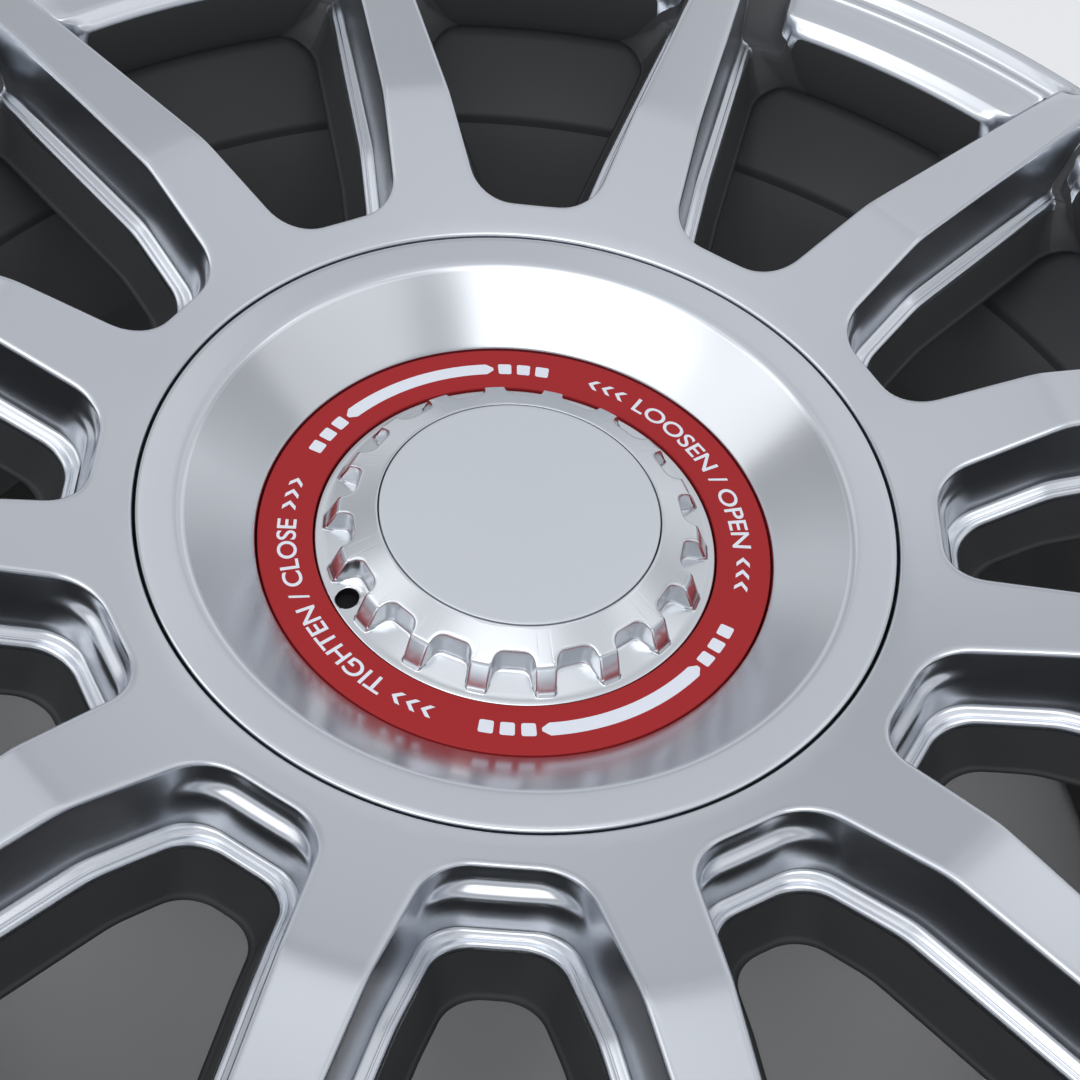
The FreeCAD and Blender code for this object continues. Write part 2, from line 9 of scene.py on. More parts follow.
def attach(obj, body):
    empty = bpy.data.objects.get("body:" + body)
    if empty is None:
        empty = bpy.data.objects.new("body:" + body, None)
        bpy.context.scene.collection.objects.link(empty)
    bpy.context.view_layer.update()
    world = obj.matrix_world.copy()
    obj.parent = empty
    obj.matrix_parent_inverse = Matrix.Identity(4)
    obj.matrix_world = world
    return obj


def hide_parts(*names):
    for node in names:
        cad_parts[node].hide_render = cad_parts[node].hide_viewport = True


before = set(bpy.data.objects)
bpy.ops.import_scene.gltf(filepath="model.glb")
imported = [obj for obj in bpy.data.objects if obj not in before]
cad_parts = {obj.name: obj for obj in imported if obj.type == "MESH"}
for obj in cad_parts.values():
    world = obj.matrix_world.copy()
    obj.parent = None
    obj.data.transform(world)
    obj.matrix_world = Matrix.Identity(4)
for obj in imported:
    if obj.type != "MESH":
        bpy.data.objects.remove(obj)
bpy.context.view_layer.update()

# Shapes are drawn in millimetres in the part's own frame: the wheel's axis is Z, the hub pad is at 0.
MM = 0.001

# Wheel face and spokes
SPOKES = 12
HALF_PITCH = math.pi / SPOKES
LIP_LEVEL = 77.95
CREASE_RADIUS = 155.4
CREASE_LEVEL = 77.45
CREASE_SOFTNESS = 2.6
CONE_RISE = 17.0
CONE_RUN = 50.4
CONE_SLOPE = CONE_RISE / CONE_RUN
OUTER_SLOPE = 0.0054
WALL_DRAFT = math.tan(math.radians(6.2))
SPOKE_HALF_WIDTH = 12.0
SPOKE_TAPER = 0.0347
SPOKE_REFERENCE = 116.7
SPOKE_DEPTH = 39.3
RECESS_RADIUS = 105.4
HUB_EDGE_RADIUS = 106.3
LIP_FLAT_RADIUS = 257.4
DRUM_RADIUS = 107.0
BARREL_JOIN_RADIUS = 233.65
BARREL_JOIN_LEVEL = 38.45
# Level of the gap round the cover, which the nut's sinks are measured from
GAP_LEVEL = 60.45


def blend(low, high, share):
    return low + (high - low) * share


def smooth_step(value, start, end):
    share = min(max((value - start) / (end - start), 0.0), 1.0)
    return share * share * (3.0 - 2.0 * share)


def face_level(radius):
    """Height of the spokes' face: a cone up to the crease, then nearly level out to the lip."""
    run = radius - CREASE_RADIUS
    bend = math.sqrt(run * run + CREASE_SOFTNESS * CREASE_SOFTNESS)
    return CREASE_LEVEL + (CONE_SLOPE + OUTER_SLOPE) / 2 * run - (CONE_SLOPE - OUTER_SLOPE) / 2 * bend


def polar(radius, angle, level):
    return Vector((radius * math.cos(angle), radius * math.sin(angle), level))


def bearing(angle):
    return Vector((math.cos(angle), math.sin(angle)))


# Mesh helpers

# Distances are in millimetres, the angle in radians, and the longest rounding is a share of the shorter edge.
MERGE_DISTANCE = 1e-3
FINE_MERGE_DISTANCE = 1e-4
RING_TOLERANCE = 0.4
STRAIGHT_ANGLE = 3.1
LONGEST_ROUNDING = 0.45


def merge(bm, distance=MERGE_DISTANCE):
    bmesh.ops.remove_doubles(bm, verts=bm.verts[:], dist=distance)


def turn_about_axis(bm, angle):
    bmesh.ops.rotate(bm, cent=(0, 0, 0), matrix=Matrix.Rotation(angle, 3, "Z"), verts=bm.verts[:])


def to_metres(bm):
    bmesh.ops.scale(bm, vec=(MM, MM, MM), verts=bm.verts[:])


def first_row(bm, places):
    """A chain of vertices and edges that later rows grow from."""
    row = [bm.verts.new(place) for place in places]
    for start, end in zip(row, row[1:]):
        bm.edges.new((start, end))
    return row


def next_row(bm, row, places, material=0):
    """Extrudes a chain and moves the new chain to its places."""
    edges = [bm.edges.get(pair) for pair in zip(row, row[1:])]
    grown = bmesh.ops.extrude_edge_only(bm, edges=edges)["geom"]
    fresh = {item for item in grown if isinstance(item, bmesh.types.BMVert)}
    for item in grown:
        if isinstance(item, bmesh.types.BMFace):
            item.material_index = material
    mates = []
    for vert, place in zip(row, places):
        mate = next(edge.other_vert(vert) for edge in vert.link_edges if edge.other_vert(vert) in fresh)
        mate.co = place
        mates.append(mate)
    return mates


def copy_round(bm, count):
    """Copies everything so that it stands evenly round Z, count times."""
    bmesh.ops.spin(
        bm,
        geom=bm.verts[:] + bm.edges[:] + bm.faces[:],
        cent=(0, 0, 0),
        axis=(0, 0, 1),
        angle=2 * math.pi * (count - 1) / count,
        steps=count - 1,
        use_duplicate=True,
    )


def between_rows(low, high, share, level_at):
    """A chain part of the way between two chains, at a depth below a surface of a level for each radius."""
    row = []
    for start, end in zip(low, high):
        point = start.lerp(end, share)
        low_depth = level_at(start.xy.length) - start.z
        high_depth = level_at(end.xy.length) - end.z
        level = level_at(point.xy.length) - blend(low_depth, high_depth, share)
        row.append(Vector((point.x, point.y, level)))
    return row


def open_ring(bm, radius, level):
    """The open edges of a circle about Z."""
    edges = []
    for edge in bm.edges:
        if not edge.is_boundary:
            continue
        middle = (edge.verts[0].co + edge.verts[1].co) / 2
        near = abs(middle.xy.length - radius) < RING_TOLERANCE
        if near and abs(middle.z - level) < RING_TOLERANCE:
            edges.append(edge)
    return edges


def grow_ring(bm, edges, profile):
    """Extrudes a ring of edges through steps of (radius, level), or (radius, level, finish)."""
    for step in profile:
        grown = bmesh.ops.extrude_edge_only(bm, edges=edges)["geom"]
        for item in grown:
            if isinstance(item, bmesh.types.BMVert):
                share = step[0] / item.co.xy.length
                item.co = Vector((item.co.x * share, item.co.y * share, step[1]))
            elif isinstance(item, bmesh.types.BMFace):
                item.material_index = step[2] if len(step) > 2 else 0
        edges = [item for item in grown if isinstance(item, bmesh.types.BMEdge) and item.is_boundary]


def rounded(corners, radius, steps):
    """A profile with each corner between its ends turned into a small arc; a straight one stays as it is."""
    path = [corners[0]]
    for before, corner, after in zip(corners, corners[1:], corners[2:]):
        here = Vector(corner[:2])
        back = Vector(before[:2]) - here
        ahead = Vector(after[:2]) - here
        turn = back.angle(ahead)
        if turn > STRAIGHT_ANGLE:
            path.append(corner)
            continue
        longest = min(back.length, ahead.length) * LONGEST_ROUNDING
        reach = min(radius / math.tan(turn / 2), longest)
        start = here + back.normalized() * reach
        end = here + ahead.normalized() * reach
        for step in range(steps + 1):
            share = step / steps
            low = start.lerp(here, share)
            high = here.lerp(end, share)
            path.append(tuple(low.lerp(high, share)) + tuple(corner[2:]))
    path.append(corners[-1])
    return path


def lathe(profile, steps):
    """A mesh turned about Z from a profile of (radius, level)."""
    bm = bmesh.new()
    row = first_row(bm, [Vector((radius, 0, level)) for radius, level in profile])
    bmesh.ops.spin(
        bm,
        geom=row + bm.edges[:],
        cent=(0, 0, 0),
        axis=(0, 0, 1),
        angle=2 * math.pi,
        steps=steps,
        use_merge=True,
    )
    merge(bm, FINE_MERGE_DISTANCE)
    return bm


def new_object(bm, name, materials=()):
    """An object in the scene from a finished mesh."""
    mesh = bpy.data.meshes.new(name)
    bm.to_mesh(mesh)
    bm.free()
    for material in materials:
        mesh.materials.append(material)
    item = bpy.data.objects.new(name, mesh)
    bpy.context.scene.collection.objects.link(item)
    return item


def piece(bm, name, materials, node=None, solid=True):
    """Makes a finished object of a mesh drawn in millimetres; a print is flat, not a solid."""
    if solid:
        bmesh.ops.recalc_face_normals(bm, faces=bm.faces[:])
    to_metres(bm)
    for face in bm.faces:
        face.smooth = solid
    item = new_object(bm, name, materials)
    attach(item, "root")
    if node:
        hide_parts(node)
    return item


def cut_holes(item, cutter):
    """Cuts the holes for good, so that the finished mesh needs no other object."""
    cut = item.modifiers.new("holes", "BOOLEAN")
    cut.object = cutter
    cut.operation = "DIFFERENCE"
    cut.solver = "EXACT"
    done = item.evaluated_get(bpy.context.evaluated_depsgraph_get())
    mesh = bpy.data.meshes.new_from_object(done)
    item.modifiers.clear()
    item.data = mesh
    bpy.data.objects.remove(cutter)


# Materials

GRAIN_SIZE = 2500.0
GRAIN_DETAIL = 3.0
CLOUD_SCALE = 14.0
CLOUD_DETAIL = 4.0
CLOUD_LOW = 0.35
CLOUD_HIGH = 0.65
NOISE_MIDDLE = 0.5
RELIEF_DISTANCE = 0.0002
# Colour sockets of a Mix node
MIX_FIRST = 6
MIX_SECOND = 7
MIX_RESULT = 2
GRAIN_SOCKETS = (
    ("Colour", "NodeSocketColor", "INPUT", (0.6, 0.6, 0.6, 1)),
    ("Grain size", "NodeSocketFloat", "INPUT", GRAIN_SIZE),
    ("Mottle", "NodeSocketFloat", "INPUT", 0.04),
    ("Rough low", "NodeSocketFloat", "INPUT", 0.25),
    ("Rough high", "NodeSocketFloat", "INPUT", 0.3),
    ("Colour", "NodeSocketColor", "OUTPUT", None),
    ("Roughness", "NodeSocketFloat", "OUTPUT", None),
    ("Height", "NodeSocketFloat", "OUTPUT", None),
)


def fine_grain_group():
    """Fine unevenness of a sprayed or machined metal skin: a mottled colour, roughness and relief."""
    group = bpy.data.node_groups.new("fine_grain", "ShaderNodeTree")
    for name, kind, side, value in GRAIN_SOCKETS:
        made = group.interface.new_socket(name=name, in_out=side, socket_type=kind)
        if value is not None:
            made.default_value = value
    nodes = group.nodes
    links = group.links
    given = nodes.new("NodeGroupInput")
    result = nodes.new("NodeGroupOutput")
    place = nodes.new("ShaderNodeTexCoord")

    # Grain for the colour and relief, cloud for the roughness
    grain = nodes.new("ShaderNodeTexNoise")
    grain.inputs["Detail"].default_value = GRAIN_DETAIL
    cloud = nodes.new("ShaderNodeTexNoise")
    cloud.inputs["Scale"].default_value = CLOUD_SCALE
    cloud.inputs["Detail"].default_value = CLOUD_DETAIL
    links.new(place.outputs["Object"], grain.inputs["Vector"])
    links.new(place.outputs["Object"], cloud.inputs["Vector"])
    links.new(given.outputs["Grain size"], grain.inputs["Scale"])

    # Colour times one plus or minus the mottle
    centre = nodes.new("ShaderNodeMath")
    centre.operation = "SUBTRACT"
    centre.inputs[1].default_value = NOISE_MIDDLE
    shade = nodes.new("ShaderNodeMath")
    shade.operation = "MULTIPLY_ADD"
    shade.inputs[2].default_value = 1.0
    tint = nodes.new("ShaderNodeMix")
    tint.data_type = "RGBA"
    tint.blend_type = "MULTIPLY"
    tint.inputs[0].default_value = 1.0
    links.new(grain.outputs["Fac"], centre.inputs[0])
    links.new(centre.outputs[0], shade.inputs[0])
    links.new(given.outputs["Mottle"], shade.inputs[1])
    links.new(given.outputs["Colour"], tint.inputs[MIX_FIRST])
    links.new(shade.outputs[0], tint.inputs[MIX_SECOND])
    links.new(tint.outputs[MIX_RESULT], result.inputs["Colour"])

    rough = nodes.new("ShaderNodeMapRange")
    rough.inputs["From Min"].default_value = CLOUD_LOW
    rough.inputs["From Max"].default_value = CLOUD_HIGH
    links.new(cloud.outputs["Fac"], rough.inputs["Value"])
    links.new(given.outputs["Rough low"], rough.inputs["To Min"])
    links.new(given.outputs["Rough high"], rough.inputs["To Max"])
    links.new(rough.outputs["Result"], result.inputs["Roughness"])
    links.new(grain.outputs["Fac"], result.inputs["Height"])
    return group


FINE_GRAIN = fine_grain_group()


def grained_metal(name, colour, metallic, rough, mottle, relief=0.006, shine=0.5):
    """A metal or painted skin with the shared fine grain."""
    material = bpy.data.materials.new(name)
    material.use_nodes = True
    nodes = material.node_tree.nodes
    links = material.node_tree.links
    shader = nodes["Principled BSDF"]
    skin = nodes.new("ShaderNodeGroup")
    skin.node_tree = FINE_GRAIN
    skin.inputs["Colour"].default_value = (*colour, 1)
    skin.inputs["Grain size"].default_value = GRAIN_SIZE
    skin.inputs["Mottle"].default_value = mottle
    skin.inputs["Rough low"].default_value = rough[0]
    skin.inputs["Rough high"].default_value = rough[1]
    bump = nodes.new("ShaderNodeBump")
    bump.inputs["Strength"].default_value = relief
    bump.inputs["Distance"].default_value = RELIEF_DISTANCE
    links.new(skin.outputs["Colour"], shader.inputs["Base Color"])
    links.new(skin.outputs["Roughness"], shader.inputs["Roughness"])
    links.new(skin.outputs["Height"], bump.inputs["Height"])
    links.new(bump.outputs["Normal"], shader.inputs["Normal"])
    shader.inputs["Metallic"].default_value = metallic
    shader.inputs["Specular IOR Level"].default_value = shine
    return material


silver_paint = grained_metal("silver_paint", (0.615, 0.64, 0.68), 1.0, (0.24, 0.27), mottle=0.05)
barrel_paint = grained_metal("barrel_paint", (0.06, 0.062, 0.065), 0.0, (0.5, 0.6), mottle=0.12, shine=0.3)
# Wall paint: the dark paint of the spokes' lower walls, made darker than the barrel paint as painted shade
wall_paint_and_shade = grained_metal("wall_paint_and_shade", (0.046, 0.047, 0.049), 0.0, (0.5, 0.6), mottle=0.12, shine=0.2)
# Well paint: the barrel's dark paint made lighter on the well, as painted light where the well lies in shadow
well_paint_and_light = grained_metal("well_paint_and_light", (0.15, 0.153, 0.157), 0.0, (0.5, 0.6), mottle=0.12, shine=0.3)
cover_silver = grained_metal("cover_silver", (0.67, 0.695, 0.735), 1.0, (0.19, 0.22), mottle=0.03)
bowl_silver = grained_metal("bowl_silver", (0.58, 0.6, 0.63), 1.0, (0.19, 0.22), mottle=0.03)
nut_silver = grained_metal("nut_silver", (0.68, 0.705, 0.735), 1.0, (0.21, 0.24), mottle=0.03)
disc_silver = grained_metal("disc_silver", (0.66, 0.69, 0.73), 0.85, (0.46, 0.5), mottle=0.01, relief=0.0)
ring_red = grained_metal("ring_red", (0.345, 0.018, 0.021), 0.0, (0.42, 0.48), mottle=0.06, shine=0.2)
mark_white = grained_metal("mark_white", (0.72, 0.75, 0.82), 0.0, (0.45, 0.5), mottle=0.04, shine=0.2)
hole_shade = grained_metal("hole_shade", (0.012, 0.012, 0.013), 0.0, (0.5, 0.6), mottle=0.1, shine=0.1)
seal_rubber = grained_metal("seal_rubber", (0.015, 0.015, 0.016), 0.0, (0.7, 0.8), mottle=0.2, relief=0.1)
carrier_steel = grained_metal("carrier_steel", (0.4, 0.4, 0.42), 1.0, (0.3, 0.4), mottle=0.1)


# Wheel

# Places of the finishes in the wheel's list of materials, with the wall paint darkened as painted shade and
# the well paint lightened as painted light
WHEEL_FINISHES_AND_SHADES = (silver_paint, barrel_paint, well_paint_and_light, wall_paint_and_shade)
SILVER = 0
BARREL = 1
WELL_AND_LIGHT = 2
WALL_AND_SHADE = 3

# One row for each step of a window's wall, from the face down to the back of the spokes. Run is the way out
# from the spoke's edge, root the distance of the window's inner end, rim the radius of its outer end, pocket
# that radius beside the spoke, and corner the rounding at the root. Depths are below the spokes' face.
WindowRow = namedtuple(
    "WindowRow",
    "run depth root root_depth rim rim_depth pocket pocket_depth corner finish",
)
WINDOW_ROWS = [WindowRow(*line) for line in (
    (-2.3, 0.0, 114.4, 0.0, 253.6, 3.2, 253.6, 3.2, 15.8, SILVER),
    (-1.5, 0.0, 115.2, 0.0, 253.2, 3.5, 253.2, 3.5, 15.3, SILVER),
    (-0.95, 0.1, 115.75, 0.1, 252.9, 3.75, 252.9, 3.75, 15.0, SILVER),
    (-0.45, 0.4, 116.25, 0.4, 252.6, 4.1, 252.6, 4.1, 14.7, SILVER),
    (-0.12, 0.9, 116.55, 0.9, 252.3, 4.6, 252.3, 4.6, 14.5, SILVER),
    (0.0, 1.6, 116.7, 1.6, 252.05, 5.3, 252.05, 5.3, 14.4, SILVER),
    (0.22, 3.6, 116.82, 3.3, 251.7, 6.2, 251.7, 6.2, 14.4, SILVER),
    (0.45, 5.6, 117.1, 5.0, 251.0, 7.0, 251.3, 7.2, 14.3, SILVER),
    (0.63, 7.3, 117.65, 6.4, 249.8, 7.5, 250.7, 8.2, 14.1, SILVER),
    (0.78, 8.7, 118.55, 7.5, 247.5, 7.8, 249.8, 9.1, 13.8, SILVER),
    (0.92, 9.9, 119.6, 8.3, 244.5, 8.05, 248.3, 10.1, 13.4, SILVER),
    (1.02, 10.9, 120.5, 9.1, 241.5, 8.25, 246.4, 11.2, 13.1, SILVER),
    (1.12, 11.8, 121.2, 10.2, 239.0, 8.42, 244.6, 12.3, 13.0, SILVER),
    (1.3, 13.4, 121.65, 11.8, 237.6, 8.52, 242.4, 13.9, 12.9, SILVER),
    (1.62, 16.4, 122.05, 14.8, 237.2, 8.62, 239.2, 16.6, 12.9, SILVER),
    (1.95, 19.4, 122.45, 18.3, 236.9, 8.8, 236.8, 19.4, 12.8, SILVER),
    (2.25, 21.2, 122.85, 20.8, 236.5, 9.15, 235.8, 21.2, 12.7, SILVER),
    (2.75, 22.15, 123.35, 22.05, 236.1, 9.5, 235.3, 22.15, 12.6, SILVER),
    (3.5, 22.5, 124.0, 22.5, 235.7, 9.85, 234.9, 22.5, 12.5, SILVER),
    (4.6, 22.75, 125.0, 22.75, 235.3, 10.2, 234.7, 22.75, 12.4, SILVER),
    (4.9, 23.0, 125.2, 23.0, 234.9, 10.55, 234.5, 23.0, 12.3, SILVER),
    (5.1, 23.3, 125.45, 23.3, 234.5, 10.9, 234.3, 23.3, 12.2, SILVER),
    (5.35, 23.15, 125.75, 23.15, 234.1, 11.2, 234.1, 23.15, 12.1, SILVER),
    (5.9, 23.2, 126.4, 23.2, 233.6, 11.6, 233.9, 23.2, 12.0, SILVER),
    (6.5, 23.6, 127.0, 23.6, 233.1, 12.1, 233.5, 23.6, 11.9, SILVER),
    (6.95, 24.4, 127.6, 24.4, 232.75, 12.7, 233.1, 24.4, 11.8, SILVER),
    (7.15, 25.4, 127.95, 25.4, 232.5, 13.5, 232.8, 25.4, 11.7, SILVER),
    # From here down the window's walls take the wall paint, darker than the barrel paint as painted shade
    (7.3, 26.0, 128.1, 26.0, 232.4, 14.4, 232.6, 26.0, 11.7, WALL_AND_SHADE),
    (9.3, 32.2, 130.7, 32.2, 232.4, 30.0, 232.5, 30.5, 11.6, WALL_AND_SHADE),
    (11.2, 38.0, 133.2, 38.0, 232.6, 33.5, 232.6, 33.5, 11.5, WALL_AND_SHADE),
    (11.75, 39.0, 133.9, 39.0, 233.0, 34.6, 233.0, 34.6, 11.5, WALL_AND_SHADE),
    (12.8, 39.3, 135.2, 39.3, 233.3, 35.0, 233.3, 35.0, 11.6, WALL_AND_SHADE),
)]
ROOT_STEPS = 5
ROOT_CORNER_STEPS = 10
SIDE_PLACES = (150.4, 151.8, 153.2, 154.6, 156.0, 157.4, 158.8, 160.4, 164.0, 172.0, 184.0, 198.0, 212.0)
SIDE_START_SHARES = (0.3, 0.65)
SIDE_END_SHARES = (0.5,)
RIM_CORNER_STEPS = 8
RIM_CORNER_FRONT = 2.6
RIM_CORNER_REAR = 10.0
RIM_CORNER_DEPTH = 20.0
RIM_STEPS = 10
# Columns along the rim end: share of the angle left to the window's middle, share of the rim's own profile
TIGHT_END = ((0.995, 0.0), (0.99, 0.1), (0.984, 0.42), (0.977, 0.78), (0.966, 0.95), (0.945, 1.0))
RELIEF_END = ((0.86, 0.0), (0.795, 0.1), (0.778, 0.42), (0.763, 0.78), (0.744, 0.95), (0.71, 1.0))
END_STEPS = len(TIGHT_END) + RIM_STEPS
# The window with the one rim end that stops short of its spoke
RELIEF_WINDOW = 2
# Corners between a spoke and the rim are silver down to this row, then in the dark barrel paint, which there
# also stands for the shade in the corners as painted shade
LAST_SILVER_CORNER_ROW = 6
CORNER_OVERLAP = 2
# Distances along the spoke: the sides that the corners touch, and the change from root to side depth
ROOT_SIDE_SPAN = (128.0, 146.0)
RIM_SIDE_SPAN = (190.0, 225.0)
ROOT_BLEND_SPAN = (117.5, 136.0)
RIM_MERGE_DISTANCE = 2e-3
RIM_ROUNDING = 3.0
RIM_ROUNDING_STEPS = 3


def spoke_half_width(place):
    """Half the spoke's width at its face edge; the drafted wall makes it wider where the face is lower."""
    at_lip_level = SPOKE_HALF_WIDTH - SPOKE_TAPER * (place - SPOKE_REFERENCE)
    return at_lip_level + WALL_DRAFT * (LIP_LEVEL - face_level(place))


def beside_spoke(place, run):
    """Plan point at a distance along the spoke and a run out from its edge, on the window's side."""
    across = spoke_half_width(place) + run
    turned = bearing(HALF_PITCH)
    return turned * place + Vector((turned.y, -turned.x)) * across


def along_spoke(point):
    return point.x * math.cos(HALF_PITCH) + point.y * math.sin(HALF_PITCH)


def side_line(span, run):
    """Start and bearing of a window's side, taken as straight over a span."""
    low = beside_spoke(span[0], run)
    high = beside_spoke(span[1], run)
    return low, math.atan2(high.y - low.y, high.x - low.x)


def root_corner(run, root, radius):
    """Centre, first and last tangent angle of the rounded corner between a window's root and its side."""
    low, lean = side_line(ROOT_SIDE_SPAN, run)
    along = bearing(lean)
    start = low + Vector((along.y, -along.x)) * radius
    reach = (root + radius - start.x) / math.cos(lean)
    return start + along * reach, math.pi, math.pi / 2 + lean


def rim_corner(run, rim, radius):
    """The same for the corner between a window's side and the rim."""
    low, lean = side_line(RIM_SIDE_SPAN, run)
    along = bearing(lean)
    start = low + Vector((along.y, -along.x)) * radius
    middle = start.dot(along)
    reach = -middle + math.sqrt(middle * middle - start.length_squared + (rim - radius) ** 2)
    centre = start + along * reach
    return centre, math.pi / 2 + lean, math.atan2(centre.y, centre.x)


def root_plan(row):
    """Plan points with their depths along half a window's root and round its corner."""
    centre, first, last = root_corner(row.run, row.root, row.corner)
    points = []
    for step in range(ROOT_STEPS):
        points.append(Vector((row.root, centre.y * step / ROOT_STEPS)))
    for step in range(ROOT_CORNER_STEPS + 1):
        angle = blend(first, last, step / ROOT_CORNER_STEPS)
        points.append(centre + bearing(angle) * row.corner)
    return [(point, row.depth) for point in points]


def side_plan(row, start, end):
    """The same along the spoke's side, between the ends of its two corners."""
    places = [blend(start, SIDE_PLACES[0], share) for share in SIDE_START_SHARES]
    places += SIDE_PLACES
    places += [blend(SIDE_PLACES[-1], end, share) for share in SIDE_END_SHARES]
    return [(beside_spoke(place, row.run), row.depth) for place in places]


def rim_plan(row, corner, radius, rim_end):
    """The same round the rim's corner and along half the rim end."""
    centre, first, last = corner
    plan = []
    for step in range(RIM_CORNER_STEPS + 1):
        share = step / RIM_CORNER_STEPS
        point = centre + bearing(blend(first, last, share)) * radius
        plan.append((point, blend(row.depth, row.pocket_depth, smooth_step(share, 0.0, 1.0))))
    start_angle = math.atan2(point.y, point.x)
    last_share = rim_end[-1][0]
    level_arc = tuple((last_share * (1 - step / RIM_STEPS), 1.0) for step in range(1, RIM_STEPS + 1))
    for angle_share, rim_share in rim_end + level_arc:
        point = bearing(start_angle * angle_share) * blend(row.pocket, row.rim, rim_share)
        plan.append((point, blend(row.pocket_depth, row.rim_depth, rim_share)))
    return plan


def window_chain(row, rim_end):
    """One chain round half a window, from the middle of its root to the middle of its rim end."""
    plan = root_plan(row)
    rear_share = smooth_step(row.depth, RIM_CORNER_DEPTH, SPOKE_DEPTH)
    radius = blend(RIM_CORNER_FRONT, RIM_CORNER_REAR, rear_share)
    corner = rim_corner(row.run, row.pocket, radius)
    side_end = corner[0] + bearing(corner[1]) * radius
    plan += side_plan(row, along_spoke(plan[-1][0]), along_spoke(side_end))
    plan += rim_plan(row, corner, radius, rim_end)
    chain = []
    for point, below in plan:
        root_share = 1.0 - smooth_step(along_spoke(point), *ROOT_BLEND_SPAN)
        level = face_level(point.length) - blend(below, row.root_depth, root_share)
        chain.append(Vector((point.x, point.y, level)))
    return chain


def sector_row(inner_radius, outer_radius, beside, depth, outer_level=None):
    """The chain along the sector's own edge: hub circle, middle of the spoke, outer circle."""
    row = []
    hub_steps = ROOT_STEPS + ROOT_CORNER_STEPS // 2
    rim_steps = END_STEPS + RIM_CORNER_STEPS // 2
    count = len(beside)
    for step in range(hub_steps + 1):
        angle = HALF_PITCH * step / hub_steps
        row.append(polar(inner_radius, angle, face_level(inner_radius) - depth))
    first_side = ROOT_STEPS + ROOT_CORNER_STEPS
    last_side = count - 1 - END_STEPS - RIM_CORNER_STEPS
    start = along_spoke(beside[first_side].xy)
    end = along_spoke(beside[last_side].xy)
    for index in range(hub_steps + 1, count - rim_steps - 1):
        if index < first_side:
            place = blend(inner_radius, start, (index - hub_steps) / (first_side - hub_steps))
        elif index <= last_side:
            place = along_spoke(beside[index].xy)
        else:
            share = (index - last_side) / (count - rim_steps - 1 - last_side)
            place = blend(end, outer_radius, share)
        row.append(polar(place, HALF_PITCH, face_level(place) - depth))
    level = face_level(outer_radius) - depth if outer_level is None else outer_level
    for step in range(rim_steps + 1):
        row.append(polar(outer_radius, HALF_PITCH * (1 - step / rim_steps), level))
    return row


def hub_profile():
    """Radius, level and finish from the recess round the cover, through the hub, to the back of the disc."""
    edge = face_level(HUB_EDGE_RADIUS)
    corners = [
        (RECESS_RADIUS, 50.95, SILVER),
        (97.5, 50.95, BARREL),
        (93.0, 30.0, BARREL),
        (79.0, 15.0, BARREL),
        (40.0, 15.0, BARREL),
        (40.0, 31.0, BARREL),
        (30.0, 31.0, BARREL),
        (30.0, 18.0, BARREL),
        (35.0, 18.0, BARREL),
        (35.0, 11.0, BARREL),
        (33.3, 11.0, BARREL),
        (33.3, 0.8, BARREL),
        (34.1, 0.0, BARREL),
        (76.0, 0.0, BARREL),
        (DRUM_RADIUS, face_level(DRUM_RADIUS) - SPOKE_DEPTH, BARREL),
    ]
    lead = [
        (105.95, edge - 0.17, SILVER),
        (105.68, edge - 0.38, SILVER),
        (105.47, edge - 0.68, SILVER),
        (RECESS_RADIUS, edge - 1.1, SILVER),
    ]
    return lead + corners


def rim_profile():
    """The same from the lip over the tyre side of the barrel to its rear flange and back up inside."""
    corners = [
        (LIP_FLAT_RADIUS, LIP_LEVEL, SILVER),
        (258.3, LIP_LEVEL - 0.5, SILVER),
        (258.6, LIP_LEVEL - 2.0, SILVER),
        (258.6, 65.95, SILVER),
        (247.5, 65.95, BARREL),
        (241.3, 60.0, BARREL),
        (239.2, 41.95, BARREL),
        (220.3, 17.95, BARREL),
        (220.3, -42.05, BARREL),
        (239.2, -125.95, BARREL),
        (241.3, -144.0, BARREL),
        (247.5, -149.95, BARREL),
        (258.6, -149.95, BARREL),
        (258.6, -161.95, BARREL),
        (250.6, -161.95, BARREL),
        (235.8, -149.95, BARREL),
        (233.7, -125.95, BARREL),
        # The well takes the lighter well paint: painted light in its shadow
        (214.8, -42.05, WELL_AND_LIGHT),
        (214.8, 14.5, WELL_AND_LIGHT),
        (214.8, 17.95, BARREL),
        (BARREL_JOIN_RADIUS, BARREL_JOIN_LEVEL, BARREL),
    ]
    return rounded(corners, RIM_ROUNDING, RIM_ROUNDING_STEPS)[1:]


# Bolt holes with conical seats, and the valve hole square to the barrel's wall, which leans by rise over run
BOLTS = 5
BOLT_CIRCLE_RADIUS = 56.0
BOLT_PROFILE = ((0.0, -9.0), (7.5, -9.0), (7.5, 5.0), (14.5, 12.0), (14.5, 30.0), (0.0, 30.0))
BOLT_STEPS = 48
# A small turn keeps the hole's edges off the lines of the wheel's own mesh
BOLT_TURN = math.radians(1.7)
VALVE_PLACE = (0, -229.75, 29.95)
VALVE_LEAN = math.atan2(24.0, 18.9)
VALVE_RADIUS = 5.65
VALVE_LENGTH = 36.0
VALVE_STEPS = 40


def round_bar(bm, radius, length, steps, place):
    bmesh.ops.create_cone(
        bm,
        cap_ends=True,
        segments=steps,
        radius1=radius,
        radius2=radius,
        depth=length,
        matrix=place,
    )


